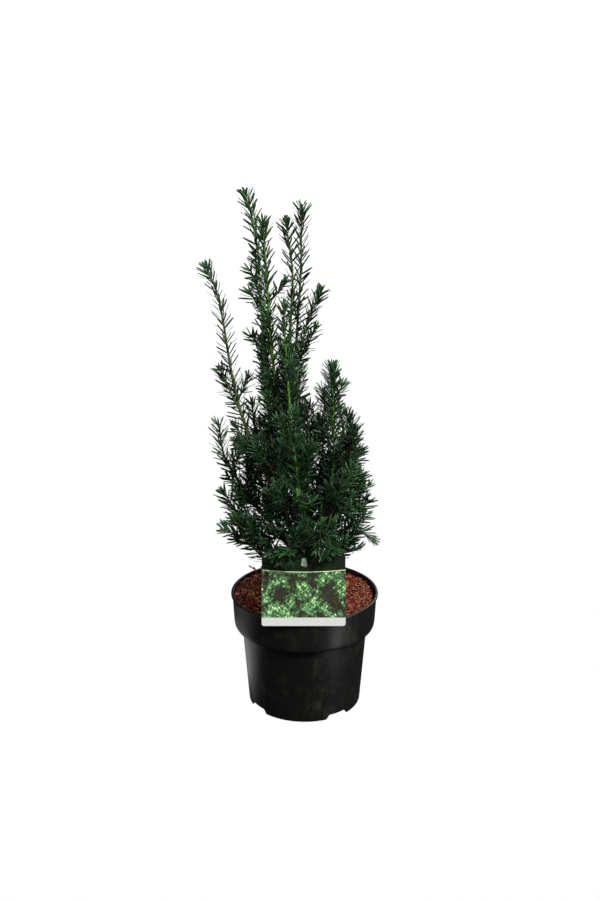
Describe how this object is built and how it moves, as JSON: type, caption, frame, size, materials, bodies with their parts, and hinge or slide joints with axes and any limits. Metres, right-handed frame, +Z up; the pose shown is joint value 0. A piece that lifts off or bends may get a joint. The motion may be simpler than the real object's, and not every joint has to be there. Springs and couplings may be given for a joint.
{
  "type": "potted dwarf yew",
  "caption": "Upright dwarf yew shrub with slim needled shoots in a round black nursery pot, bark mulch on its soil and a hang card leaning on the rim.",
  "frame": {"origin": "centre of the pot's flat underside", "axes": "+Z up along the pot's axis and the shoots, +Y away from the side that the label card faces, +X to the right of it"},
  "size_m": [0.2228, 0.212, 0.6619],
  "materials": {
    "pot": "satin black moulded plastic with faint scuffs and dust",
    "soil": "dark peat potting soil",
    "mulch": "red-brown shredded bark",
    "label": "satin printed plastic card",
    "strap": "satin pale green plastic",
    "bark": "thin brown bark with olive shoots",
    "foliage": "glossy dark green needles"
  },
  "bodies": {
    "root": {"pot": "pot", "potting_soil": "soil", "bark_mulch": "mulch", "label_card": "label", "label_strap": "strap", "trunk": "bark", "bough_tall_left": "bark", "foliage_tall_left": "foliage", "bough_tall_front": "bark", "foliage_tall_front": "foliage", "bough_tall_mid": "bark", "foliage_tall_mid": "foliage", "bough_tall_right": "bark", "foliage_tall_right": "foliage", "bough_left_leader": "bark", "foliage_left_leader": "foliage", "bough_right_upper": "bark", "foliage_right_upper": "foliage", "bough_bright_centre": "bark", "foliage_bright_centre": "foliage", "bough_column_left": "bark", "foliage_column_left": "foliage", "bough_right_spire": "bark", "foliage_right_spire": "foliage", "bough_right_outer_a": "bark", "foliage_right_outer_a": "foliage", "bough_right_outer_b": "bark", "foliage_right_outer_b": "foliage", "bough_right_low_a": "bark", "foliage_right_low_a": "foliage", "bough_right_low_b": "bark", "foliage_right_low_b": "foliage", "foliage_right_skirt": "foliage", "foliage_centre_right": "foliage", "bough_front_centre": "bark", "foliage_front_centre": "foliage", "bough_front_left": "bark", "foliage_front_left": "foliage", "bough_front_right": "bark", "foliage_front_right": "foliage", "bough_left_low_a": "bark", "foliage_left_low_a": "foliage", "bough_left_low_b": "bark", "foliage_left_low_b": "foliage", "foliage_left_skirt": "foliage", "foliage_front_skirt_left": "foliage", "foliage_front_skirt_right": "foliage", "bough_left_inner": "bark", "foliage_left_inner": "foliage", "bough_back_tall": "bark", "foliage_back_tall": "foliage", "bough_back_left": "bark", "foliage_back_left": "foliage", "bough_back_right": "bark", "foliage_back_right": "foliage", "bough_back_mid": "bark", "foliage_back_mid": "foliage", "foliage_back_low_left": "foliage", "foliage_back_low_right": "foliage", "foliage_back_low_mid": "foliage"}
  },
  "joints": []
}
